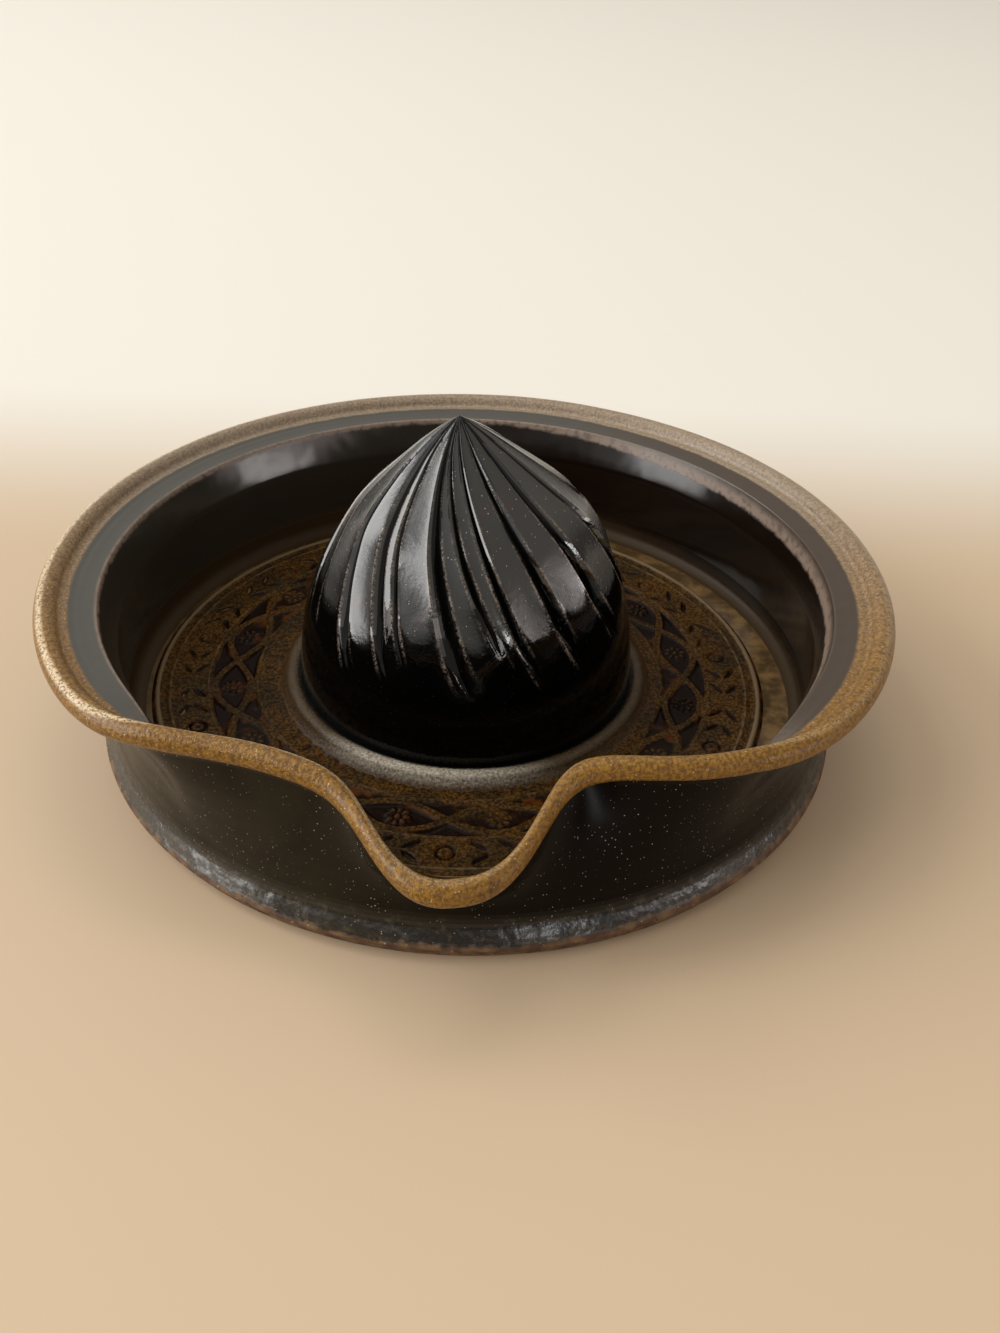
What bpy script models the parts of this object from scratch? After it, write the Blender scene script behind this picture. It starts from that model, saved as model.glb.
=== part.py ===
"""Stoneware citrus reamer: a low dish with a pulled pouring lip round a fixed, fluted cone.

Lengths are in metres and angles in degrees. +Z is up, the lip points along -Y, and the origin is the
bottom centre of the whole pot. The pot is luted from six clay pieces that keep a thin joint between them.
"""
import math

import bmesh
import bpy

POT = "citrus_reamer"

# Clay joint between two luted pieces
JOINT = 0.0003

# Foot, floor and the patterned disc let into it, from the table upwards
FOOT_HEIGHT = 0.0024
FOOT_SEAT = 0.0044
FOOT_TUCK = 0.0016
FOOT_CHAMFER = 0.0006
FLOOR_RADIUS = 0.0668
FLOOR_UNDER_DISC = 0.0013
DISC_THICKNESS = 0.0019
DISC_PROUD = 0.0004
DISC_MARGIN = 0.0038
DISC_OFFSET_X = -0.0020
DISC_OFFSET_Y = 0.0006
BORDER_WIDTH = 0.0012
BORDER_HEIGHT = 0.0005

# Wall of the dish, from the floor outwards and upwards
WALL_THICKNESS = 0.0033
WALL_DEPTH = 0.0243
WALL_LEAN = 0.0025
HEEL_FLARE = 0.0016
HEEL_HEIGHT = 0.0050
FLANGE_WIDTH = 0.0067
FLANGE_RISE = 0.0006
RIM_BEAD = 0.0021
RIM_DRIFT_X = -0.0006

# How the wall bends: the share of its depth where it starts to lean, powers of its curves, and the angle at
# which it meets the bead, from +X anticlockwise
LEAN_START = 0.62
LEAN_CURVE = 1.35
HEEL_CURVE = 4.0
FLANGE_CURVE = 4.0
PRESSED_CURVE = 1.7
FLANGE_ROOT = 191.0
PRESSED_ROOT = 262.0
LIP_ROOT_TURN = 34.0
BEAD_NECK = 38.0
PRESSED_TOP = 0.86

# Front of the rim: two inward presses and the lip pulled out between them, by angle from -Y towards +X
HAND_PRESS = 0.01955
HAND_PRESS_AT = 6.7
HAND_PRESS_HALF = 27.3
THUMB_PRESS = 0.0064
THUMB_PRESS_AT = -29.3
THUMB_PRESS_HALF = 13.3
PRESS_LIFT = 0.0011
UPRIGHT_PRESS = 0.0055
LIP_PULL = 0.02265
LIP_AT = 1.3
LIP_HALF = 11.6
LIP_SQUARENESS = 2.43
LIP_DIP = 0.0058
DIP_HALF = 14.5

# Cone, and the clay roll round its foot
CONE_RADIUS = 0.0330
CONE_OFFSET_X = -0.0008
CONE_RISE = 0.0557
CONE_SPRING = 0.0030
CONE_TURN = 0.0010
CONE_WALL = 0.0043
CONE_CROWN = 0.0130
CONE_LEAN = -0.0021
COLLAR_WIDTH = 0.0050
COLLAR_HEIGHT = 0.0019
COLLAR_FLAT = 0.0022
COLLAR_BITE = 0.0017

# Flutes cut into the cone, each a scoop between two ridges, deepest towards its right ridge
FLUTES = 24
FLUTE_DEPTH = 0.0017
FLUTE_RUN = 0.0370
FLUTE_FADE = 0.0130
FLUTE_UNEVEN = 0.0035
FLUTE_UNEVEN_TURN = 2.4
FLUTE_TWIST = 44.0
FLUTE_FULL_RADIUS = 0.0150
FLUTE_SKEW = 2.2
RIDGE_SLACK = 0.001
TIP_CAP = 0.0005

# Steps round each turned piece, and along each section
RING_STEPS = 72
STEPS_PER_FLUTE = 4
WALL_STEPS = 96
FRONT_CROWDING = 0.5
BEAD_STEPS = 9
ROUND_STEPS = 5
TURN_STEPS = 3
CONE_RINGS = 12
HOLLOW_RINGS = 5
RING_SPACING = 1.15

# Levels and radii that follow from the sizes above
FLOOR_UNDERSIDE = FOOT_HEIGHT + JOINT
RECESS_LEVEL = FLOOR_UNDERSIDE + FLOOR_UNDER_DISC
DISC_UNDERSIDE = RECESS_LEVEL + JOINT
DISC_TOP = DISC_UNDERSIDE + DISC_THICKNESS
FLOOR_LEVEL = DISC_TOP - DISC_PROUD
DISC_RADIUS = FLOOR_RADIUS - DISC_MARGIN - math.hypot(DISC_OFFSET_X, DISC_OFFSET_Y)
FOOT_INNER_RADIUS = FLOOR_RADIUS - FOOT_SEAT
WAIST_RADIUS = FLOOR_RADIUS + WALL_THICKNESS
WAIST_LEVEL = FLOOR_LEVEL + HEEL_HEIGHT
HEEL_RADIUS = WAIST_RADIUS + HEEL_FLARE
BEAD_LINE = FLOOR_RADIUS + WALL_LEAN + FLANGE_WIDTH + RIM_BEAD
BEAD_LEVEL = FLOOR_LEVEL + WALL_DEPTH + FLANGE_RISE
RIM_RADIUS = BEAD_LINE + RIM_BEAD
CONE_FOOT = DISC_TOP + JOINT
CONE_SHOULDER = CONE_FOOT + CONE_SPRING
TIP_LEVEL = CONE_FOOT + CONE_RISE
CROWN_LEVEL = TIP_LEVEL - CONE_CROWN
COLLAR_TOP = CONE_FOOT + COLLAR_HEIGHT
CONE_FOOT_RADIUS = CONE_RADIUS - COLLAR_BITE
HOLLOW_RADIUS = CONE_FOOT_RADIUS - CONE_WALL


def polar(radius, azimuth, height):
    """Point at an angle in degrees measured from the lip's side, -Y, towards +X."""
    angle = math.radians(azimuth)
    return (radius * math.sin(angle), -radius * math.cos(angle), height)


def blend(first, second, share):
    """Value a share of the way from the first to the second."""
    return first + (second - first) * share


def swell(azimuth, centre, half_width, squareness=2.0):
    """Smooth hump of height 1 round an azimuth."""
    return math.exp(-abs((azimuth - centre) / half_width) ** squareness)


def arc(centre, radii, start, end, steps):
    """Points along a round or oval stretch of a section, angles in degrees."""
    angles = [math.radians(blend(start, end, step / steps)) for step in range(steps + 1)]
    return [(centre[0] + radii[0] * math.cos(a), centre[1] + radii[1] * math.sin(a)) for a in angles]


def glaze(name, colour, roughness):
    """Material of one clay or glaze."""
    material = bpy.data.materials.new(name)
    material.use_nodes = True
    material.diffuse_color = (*colour, 1.0)
    shader = material.node_tree.nodes["Principled BSDF"]
    shader.inputs["Base Color"].default_value = (*colour, 1.0)
    shader.inputs["Roughness"].default_value = roughness
    shader.inputs["Metallic"].default_value = 0.0
    return material


def add_piece(name, mesh, material, parts, parent, crease=40.0):
    """Object of one mesh with its material, smooth where its faces turn less than the crease angle."""
    mesh.materials.append(material)
    mesh.shade_smooth()
    mesh.set_sharp_from_angle(angle=math.radians(crease))
    piece = bpy.data.objects.new(name, mesh)
    piece.parent = parent
    parts.objects.link(piece)
    return piece


def turned_mesh(name, outline, steps):
    """Mesh of a section of (radius, height) turned round the axis.

    The section runs down its outer side first. One that starts and ends on the axis stays open there,
    and any other is closed on itself.
    """
    profile = bpy.data.meshes.new(name + "_profile")
    edges = [(i, i + 1) for i in range(len(outline) - 1)]
    if outline[0][0] > 0.0:
        edges.append((len(outline) - 1, 0))
    profile.from_pydata([(radius, 0.0, height) for radius, height in outline], edges, [])
    lathe = bpy.data.objects.new(name + "_lathe", profile)
    bpy.context.scene.collection.objects.link(lathe)
    screw = lathe.modifiers.new("turn", "SCREW")
    screw.axis = "Z"
    screw.steps = steps
    screw.render_steps = steps
    screw.use_merge_vertices = True
    screw.merge_threshold = 0.00001
    bpy.context.view_layer.update()
    evaluated = lathe.evaluated_get(bpy.context.evaluated_depsgraph_get())
    mesh = bpy.data.meshes.new_from_object(evaluated)
    mesh.name = name
    bpy.data.objects.remove(lathe)
    bpy.data.meshes.remove(profile)
    return mesh


def bore(piece, name, radius, levels, centre, cutters, dish):
    """Cuts a round hole or recess between two levels."""
    low, high = levels
    bpy.ops.mesh.primitive_cylinder_add(
        vertices=RING_STEPS, radius=radius, depth=high - low, location=(*centre, (low + high) / 2.0)
    )
    cutter = bpy.context.object
    cutter.name = name
    for owner in list(cutter.users_collection):
        owner.objects.unlink(cutter)
    cutters.objects.link(cutter)
    cutter.parent = dish
    cutter.hide_render = True
    cutter.display_type = "WIRE"
    cut = piece.modifiers.new(name, "BOOLEAN")
    cut.operation = "DIFFERENCE"
    cut.solver = "EXACT"
    cut.object = cutter


def foot_ring_outline():
    """Section of the foot: flat underneath and tucked in at its outer edge."""
    tuck = arc((HEEL_RADIUS - FOOT_TUCK, FOOT_HEIGHT), (FOOT_TUCK, FOOT_HEIGHT), 0.0, -90.0, ROUND_STEPS)
    inside = [
        (FOOT_INNER_RADIUS + FOOT_CHAMFER, 0.0),
        (FOOT_INNER_RADIUS, FOOT_CHAMFER),
        (FOOT_INNER_RADIUS, FOOT_HEIGHT),
    ]
    return tuck + inside


def slab_outline():
    """Section of the floor slab before it is recessed."""
    edge = FLOOR_RADIUS - JOINT
    return [(0.0, FLOOR_LEVEL), (edge, FLOOR_LEVEL), (edge, FLOOR_UNDERSIDE), (0.0, FLOOR_UNDERSIDE)]


def disc_outline():
    """Section of the patterned disc with its raised border."""
    slope = BORDER_HEIGHT / 2.0
    border_top = DISC_TOP + BORDER_HEIGHT
    return [
        (0.0, DISC_TOP),
        (DISC_RADIUS - BORDER_WIDTH - slope, DISC_TOP),
        (DISC_RADIUS - BORDER_WIDTH, border_top),
        (DISC_RADIUS - slope, border_top),
        (DISC_RADIUS, DISC_TOP),
        (DISC_RADIUS, DISC_UNDERSIDE),
        (0.0, DISC_UNDERSIDE),
    ]


def collar_outline():
    """Section of the clay roll: flat below and against the cone, round outside."""
    inner = CONE_FOOT_RADIUS + JOINT
    shoulder = inner + COLLAR_FLAT
    round_radii = (COLLAR_WIDTH - COLLAR_FLAT, COLLAR_HEIGHT)
    return [(inner, CONE_FOOT), (inner, COLLAR_TOP)] + arc((shoulder, CONE_FOOT), round_radii, 90.0, 0.0, ROUND_STEPS)


def ogive_radius(height, base, top, radius):
    """Radius of a pointed arch turned round the axis, upright at its base."""
    length = top - base
    sweep = (radius * radius + length * length) / (2.0 * radius)
    run = min(max(height - base, 0.0), length)
    return math.sqrt(sweep * sweep - run * run) - sweep + radius


def cone_outline():
    """Section of the cone, from its tip down the outside and up the hollow to the crown."""
    foot_top = COLLAR_TOP + JOINT
    outside = [(0.0, TIP_LEVEL)]
    for ring in range(1, CONE_RINGS + 1):
        height = blend(TIP_LEVEL - TIP_CAP, foot_top + CONE_TURN, (ring / CONE_RINGS) ** RING_SPACING)
        outside.append((ogive_radius(height, CONE_SHOULDER, TIP_LEVEL, CONE_RADIUS), height))
    tucked = outside[-1][0] - CONE_FOOT_RADIUS
    turn_under = arc((CONE_FOOT_RADIUS, foot_top + CONE_TURN), (tucked, CONE_TURN), 0.0, -90.0, TURN_STEPS)[1:]
    hollow = []
    for ring in range(HOLLOW_RINGS):
        height = blend(CONE_FOOT, CROWN_LEVEL, ring / HOLLOW_RINGS)
        hollow.append((ogive_radius(height, CONE_FOOT, CROWN_LEVEL, HOLLOW_RADIUS), height))
    return outside + turn_under + [(CONE_FOOT_RADIUS, CONE_FOOT)] + hollow + [(0.0, CROWN_LEVEL)]


def flute_scoop(azimuth, radius, height):
    """Depth cut from the cone's outside at one place, with the azimuth counted before the twist."""
    position = azimuth / 360.0 * FLUTES
    flute = math.floor(position + RIDGE_SLACK)
    across = max(position - flute, 0.0)
    run_out = TIP_LEVEL - FLUTE_RUN + FLUTE_UNEVEN * math.sin(FLUTE_UNEVEN_TURN * flute)
    fade = min(max((height - run_out) / FLUTE_FADE, 0.0), 1.0)
    narrowing = min(radius / FLUTE_FULL_RADIUS, 1.0)
    return FLUTE_DEPTH * math.sin(math.pi * across ** FLUTE_SKEW) * fade * narrowing


def carve_cone(mesh):
    """Cuts the twisted flutes into the turned cone and gives it its lean."""
    for vertex in mesh.vertices:
        x, y, height = vertex.co
        radius = math.hypot(x, y)
        depth_inside = ogive_radius(height, CONE_SHOULDER, TIP_LEVEL, CONE_RADIUS) - radius
        climb = max(height - CONE_SHOULDER, 0.0) / (TIP_LEVEL - CONE_SHOULDER)
        if depth_inside < CONE_WALL / 2.0 and climb > 0.0 and radius > 0.0:
            azimuth = math.degrees(math.atan2(x, -y)) % 360.0
            radius -= flute_scoop(azimuth, radius, height)
            x, y, height = polar(radius, azimuth - FLUTE_TWIST * climb, height)
        vertex.co = (x + CONE_LEAN * climb, y, height)


def rim_shape(azimuth):
    """How the rim runs at an azimuth: bead centre, share pressed upright and share pulled into the lip."""
    press = HAND_PRESS * swell(azimuth, HAND_PRESS_AT, HAND_PRESS_HALF)
    press += THUMB_PRESS * swell(azimuth, THUMB_PRESS_AT, THUMB_PRESS_HALF)
    pulled = swell(azimuth, LIP_AT, LIP_HALF, LIP_SQUARENESS)
    share = min(press / UPRIGHT_PRESS, 1.0)
    upright = share * share * (3.0 - 2.0 * share)
    radius = BEAD_LINE - press + LIP_PULL * pulled
    dip = LIP_DIP * swell(azimuth, LIP_AT, DIP_HALF, LIP_SQUARENESS)
    return (radius, BEAD_LEVEL + PRESS_LIFT * upright - dip), upright, pulled


def wall_inside(upright, bead_end):
    """Inside of the wall: leaning out to the flange, or swept straight to the bead where it is pressed."""
    points = [(FLOOR_RADIUS, FLOOR_UNDERSIDE), (FLOOR_RADIUS, FLOOR_LEVEL)]
    for share in (0.2, 0.4, LEAN_START, 0.84, 1.0):
        lean = WALL_LEAN * (max(share - LEAN_START, 0.0) / (1.0 - LEAN_START)) ** LEAN_CURVE
        leaning = (FLOOR_RADIUS + lean, FLOOR_LEVEL + WALL_DEPTH * share)
        height = blend(FLOOR_LEVEL, bead_end[1], share * PRESSED_TOP)
        rise = max(height - WAIST_LEVEL, 0.0) / (bead_end[1] - WAIST_LEVEL)
        pressed = (blend(FLOOR_RADIUS, bead_end[0], rise ** PRESSED_CURVE), height)
        points.append((blend(leaning[0], pressed[0], upright), blend(leaning[1], pressed[1], upright)))
    return points


def wall_outside(upright, bead_end):
    """Outside of the wall, from the bead in under the flange, down to the waist and out to the heel."""
    curve = blend(FLANGE_CURVE, PRESSED_CURVE, upright)
    points = []
    for share in (0.88, 0.72, 0.52, 0.27, 0.0):
        radius = blend(WAIST_RADIUS, bead_end[0], share ** curve)
        points.append((radius, blend(WAIST_LEVEL, bead_end[1], share)))
    for share in (0.35, 0.65, 0.87, 1.0):
        radius = WAIST_RADIUS + HEEL_FLARE * share ** HEEL_CURVE
        points.append((radius, blend(WAIST_LEVEL, FLOOR_UNDERSIDE, share)))
    return points


def wall_section(azimuth):
    """Section of the wall at an azimuth: up the inside, over the bead and down the outside."""
    bead, upright, pulled = rim_shape(azimuth)
    root = blend(FLANGE_ROOT, PRESSED_ROOT, upright) - LIP_ROOT_TURN * pulled
    roll = arc(bead, (RIM_BEAD, RIM_BEAD), root - BEAD_NECK, root + BEAD_NECK - 360.0, BEAD_STEPS)
    return wall_inside(upright, roll[0]) + roll + wall_outside(upright, roll[-1])


def wall_mesh():
    """Wall lofted through its sections, which stand closer together at the lip."""
    shape = bmesh.new()
    rings = []
    for step in range(WALL_STEPS):
        turn = 360.0 * step / WALL_STEPS - 180.0
        azimuth = turn - FRONT_CROWDING * math.degrees(math.sin(math.radians(turn)))
        ring = []
        for radius, height in wall_section(azimuth):
            x, y, z = polar(radius, azimuth, height)
            drift = RIM_DRIFT_X * max(height - FLOOR_LEVEL, 0.0) / (BEAD_LEVEL - FLOOR_LEVEL)
            ring.append(shape.verts.new((x + drift, y, z)))
        rings.append(ring)
    for ring, following in zip(rings, rings[1:] + rings[:1]):
        for i, corner in enumerate(ring):
            after = (i + 1) % len(ring)
            shape.faces.new((corner, ring[after], following[after], following[i]))
    bmesh.ops.recalc_face_normals(shape, faces=shape.faces)
    mesh = bpy.data.meshes.new("dish_wall")
    shape.to_mesh(mesh)
    shape.free()
    return mesh


def build_foot_ring(parts, dish):
    """Unglazed ring that the pot stands on."""
    mesh = turned_mesh("foot_ring", foot_ring_outline(), RING_STEPS)
    add_piece("foot_ring", mesh, glaze("bare_stoneware", (0.16, 0.075, 0.045), 0.85), parts, dish)


def build_floor_slab(parts, cutters, dish):
    """Base slab inside the wall, recessed for the disc and open under the cone."""
    mesh = turned_mesh("floor_slab", slab_outline(), RING_STEPS)
    slab = add_piece("floor_slab", mesh, glaze("olive_glaze", (0.045, 0.035, 0.018), 0.3), parts, dish)
    disc_centre = (DISC_OFFSET_X, DISC_OFFSET_Y)
    recess = (RECESS_LEVEL, FLOOR_LEVEL + DISC_THICKNESS)
    bore(slab, "disc_recess", DISC_RADIUS + JOINT, recess, disc_centre, cutters, dish)
    through = (FLOOR_UNDERSIDE - FOOT_HEIGHT, FLOOR_LEVEL)
    bore(slab, "slab_hollow", HOLLOW_RADIUS, through, (CONE_OFFSET_X, 0.0), cutters, dish)


def build_relief_disc(parts, cutters, dish):
    """Pressed disc in the floor, set off centre, with a hole under the cone."""
    mesh = turned_mesh("relief_disc", disc_outline(), RING_STEPS)
    disc = add_piece("relief_disc", mesh, glaze("relief_glaze", (0.09, 0.06, 0.03), 0.55), parts, dish, 25.0)
    disc.location = (DISC_OFFSET_X, DISC_OFFSET_Y, 0.0)
    through = (DISC_UNDERSIDE - DISC_THICKNESS, DISC_TOP + DISC_THICKNESS)
    bore(disc, "disc_hollow", HOLLOW_RADIUS, through, (CONE_OFFSET_X, 0.0), cutters, dish)


def build_cone_collar(parts, cone_seat):
    """Roll of clay luted round the cone's foot."""
    mesh = turned_mesh("cone_collar", collar_outline(), RING_STEPS)
    add_piece("cone_collar", mesh, glaze("collar_glaze", (0.08, 0.06, 0.045), 0.4), parts, cone_seat)


def build_reamer_cone(parts, cone_seat):
    """Hollow cone with its flutes."""
    mesh = turned_mesh("reamer_cone", cone_outline(), FLUTES * STEPS_PER_FLUTE)
    carve_cone(mesh)
    add_piece("reamer_cone", mesh, glaze("black_glaze", (0.012, 0.012, 0.012), 0.12), parts, cone_seat, 30.0)


def build_dish_wall(parts, dish):
    """Wall with its heel, flange, rolled rim and pouring lip."""
    add_piece("dish_wall", wall_mesh(), glaze("dark_olive_glaze", (0.03, 0.025, 0.015), 0.2), parts, dish)


def add_axis(name, place, parts, parent=None):
    """Empty that carries the pieces turned about one axis."""
    axis = bpy.data.objects.new(name, None)
    axis.location = place
    axis.parent = parent
    parts.objects.link(axis)
    return axis


def main():
    """Builds the pot in its own collection."""
    for thing in list(bpy.data.objects):
        bpy.data.objects.remove(thing)
    parts = bpy.data.collections.new(POT)
    cutters = bpy.data.collections.new(POT + "_cutters")
    for collection in (parts, cutters):
        bpy.context.scene.collection.children.link(collection)
    lip_reach = rim_shape(LIP_AT)[0][0] + RIM_BEAD
    dish = add_axis("dish_axis", (-RIM_DRIFT_X, (lip_reach - RIM_RADIUS) / 2.0, 0.0), parts)
    cone_seat = add_axis("cone_axis", (CONE_OFFSET_X, 0.0, 0.0), parts, dish)
    build_foot_ring(parts, dish)
    build_floor_slab(parts, cutters, dish)
    build_relief_disc(parts, cutters, dish)
    build_cone_collar(parts, cone_seat)
    build_reamer_cone(parts, cone_seat)
    build_dish_wall(parts, dish)


main()
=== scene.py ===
"""Looks of a stoneware citrus reamer: a glazed dish with a pulled lip round a fluted, black-glazed cone.

Lengths are in millimetres until a piece is finished. Lamps and the studio's floor are given in metres, and
angles in degrees. Azimuths turn about an upright axis from the lip's side, -Y, towards +X.
"""

import logging
import math
from dataclasses import dataclass
from enum import Enum
from typing import Callable, Sequence

import bmesh
import bpy
from mathutils import Matrix, Vector, noise

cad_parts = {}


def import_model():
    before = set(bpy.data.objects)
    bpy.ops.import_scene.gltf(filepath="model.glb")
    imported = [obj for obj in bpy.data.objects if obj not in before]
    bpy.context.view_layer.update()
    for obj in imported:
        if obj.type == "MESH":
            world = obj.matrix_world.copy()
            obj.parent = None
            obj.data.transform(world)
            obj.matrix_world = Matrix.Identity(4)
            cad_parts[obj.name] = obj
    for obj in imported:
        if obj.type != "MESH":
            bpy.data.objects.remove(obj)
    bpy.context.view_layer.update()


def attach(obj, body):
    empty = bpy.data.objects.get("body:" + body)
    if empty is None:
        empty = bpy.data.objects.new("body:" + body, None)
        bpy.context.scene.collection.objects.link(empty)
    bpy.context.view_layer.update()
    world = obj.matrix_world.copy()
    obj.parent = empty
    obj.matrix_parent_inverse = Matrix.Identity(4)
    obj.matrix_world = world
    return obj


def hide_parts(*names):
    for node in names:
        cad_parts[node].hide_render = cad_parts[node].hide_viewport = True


Point = tuple[float, float]
Triple = tuple[float, float, float]
Colour = Triple
Form = bmesh.types.BMesh
Material = bpy.types.Material
Socket = bpy.types.NodeSocket
Number = Socket | float
Tint = Socket | Triple

LOG = logging.getLogger("citrus_reamer")
MM = 0.001
MERGE_DISTANCE = 0.0005


class Slot(Enum):
    """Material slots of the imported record."""

    BARE_CLAY = "bare_stoneware"
    FLOOR = "olive_glaze"
    RELIEF = "relief_glaze"
    COLLAR = "collar_glaze"
    CONE = "black_glaze"
    WALL = "dark_olive_glaze"


class Mark(Enum):
    """Vertex marks that the glazes read to follow the clay's form."""

    ZONE = "zone"
    PRESSED = "pressed"
    RIDGE = "ridge"
    # CUT also carries the painted shade inside the grooves.
    CUT = "cut"


def blend(first: float, second: float, share: float) -> float:
    """Value a share of the way from the first to the second."""
    return first + (second - first) * share


def ease(value: float, low: float, high: float) -> float:
    """Smooth step from 0 at the first value to 1 at the second one."""
    share = min(max((value - low) / (high - low), 0.0), 1.0)
    return share * share * (3.0 - 2.0 * share)


def hump(distance: float, half_width: float) -> float:
    """Rounded ridge profile: 1 in its middle and 0 from the half width on."""
    share = min(abs(distance) / half_width, 1.0)
    return (1.0 - share * share) ** 2


def swell(azimuth: float, centre: float, half_width: float, squareness: float = 2.0) -> float:
    """Smooth hump of height 1 round an azimuth."""
    return math.exp(-abs((azimuth - centre) / half_width) ** squareness)


def shares(count: int, first: int = 0) -> list[float]:
    """Even steps up to 1, from 0 or from a later step on."""
    return [step / count for step in range(first, count + 1)]


def arc(centre: Point, radii: Point, start: float, end: float, steps: int) -> list[Point]:
    """Points along a round or oval stretch of a section."""
    angles = [math.radians(blend(start, end, share)) for share in shares(steps)]
    return [(centre[0] + radii[0] * math.cos(a), centre[1] + radii[1] * math.sin(a)) for a in angles]


def standing(radius: float, azimuth: float, height: float = 0.0, axis: Point = (0.0, 0.0)) -> Vector:
    """Place at an azimuth round an upright axis."""
    angle = math.radians(azimuth)
    return Vector((axis[0] + radius * math.sin(angle), axis[1] - radius * math.cos(angle), height))


def mottle(place: Vector, size: float, seed: float = 0.0) -> float:
    """Smooth unevenness from -1 to 1, with lumps of about the size."""
    return noise.noise(place / size + Vector((seed, seed * 1.7, -seed)))


def close_up(form: Form) -> None:
    """Merges the points that coincide and turns the normals outwards."""
    bmesh.ops.remove_doubles(form, verts=form.verts[:], dist=MERGE_DISTANCE)
    bmesh.ops.recalc_face_normals(form, faces=form.faces[:])


def mean_mark(face: bmesh.types.BMFace, layer: bmesh.types.BMLayerItem) -> float:
    """Mean of a vertex mark over a face."""
    return sum(corner[layer] for corner in face.verts) / len(face.verts)


@dataclass
class Knot:
    """One point of a section, with the marks that it carries."""

    place: Vector
    marks: tuple[float, ...] = ()


@dataclass
class Loft:
    """Skin through sections that stand round an axis, made from a grid that is wrapped and joined up.

    Attributes:
        sections: The sections in turn, each a list of knots from its first station to its last.
        marks: Names of the marks that the knots carry.
        looped: Whether each section is a closed loop.
    """

    sections: list[list[Knot]]
    marks: tuple[Mark, ...] = ()
    looped: bool = True

    def form(self) -> Form:
        """Wraps the grid round the sections and closes it up."""
        turns, stations = len(self.sections), len(self.sections[0])
        columns = stations if self.looped else stations - 1
        form = bmesh.new()
        layers = [form.verts.layers.float.new(mark.value) for mark in self.marks]
        bmesh.ops.create_grid(form, x_segments=columns, y_segments=turns, size=0.5)
        for vertex in form.verts:
            station = round((vertex.co.x + 0.5) * columns) % stations
            turn = round((vertex.co.y + 0.5) * turns) % turns
            knot = self.sections[turn][station]
            vertex.co = knot.place
            for layer, value in zip(layers, knot.marks):
                vertex[layer] = value
        close_up(form)
        return form


def spun(
    outline: Sequence[Point], axis: Point, turns: int, rough: Callable[[Vector], float] | None = None
) -> Form:
    """Spins a closed section round an axis and gives it a hand-made unevenness.

    Args:
        outline: Section as (radius, height), a closed loop.
        axis: Axis that it is spun round.
        turns: Steps of the full turn.
        rough: How far a place moves away from the axis.

    Returns:
        The closed form.
    """
    form = bmesh.new()
    corners = [form.verts.new((radius, 0.0, height)) for radius, height in outline]
    edges = [form.edges.new(pair) for pair in zip(corners, corners[1:] + corners[:1])]
    around = {"cent": (0, 0, 0), "axis": (0, 0, 1), "angle": math.tau}
    bmesh.ops.spin(form, geom=corners + edges, steps=turns, use_merge=True, **around)
    close_up(form)
    for vertex in form.verts if rough else ():
        outwards = Vector((vertex.co.x, vertex.co.y, 0.0)).normalized()
        vertex.co += outwards * rough(vertex.co)
    bmesh.ops.transform(form, matrix=Matrix.Translation((*axis, 0.0)), verts=form.verts[:])
    return form


def finish_piece(
    name: str,
    form: Form,
    materials: Sequence[Material],
    nodes: Sequence[str],
    crease: float = 60.0,
) -> bpy.types.Object:
    """Turns a form into a piece that rides on the pot.

    Args:
        name: Name of the piece.
        form: Its finished form in millimetres, which is freed.
        materials: Its materials in the order of its faces' indices.
        nodes: Solids that it stands for.
        crease: Angle from which an edge stays sharp.

    Returns:
        The piece.
    """
    bmesh.ops.transform(form, matrix=Matrix.Scale(MM, 4), verts=form.verts[:])
    mesh = bpy.data.meshes.new(name)
    form.to_mesh(mesh)
    form.free()
    for material in materials:
        mesh.materials.append(material)
    mesh.shade_smooth()
    mesh.set_sharp_from_angle(angle=math.radians(crease))
    piece = bpy.data.objects.new(name, mesh)
    bpy.context.scene.collection.objects.link(piece)
    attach(piece, "root")
    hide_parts(*nodes)
    LOG.info("%s: %d faces", name, len(mesh.polygons))
    return piece


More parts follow.
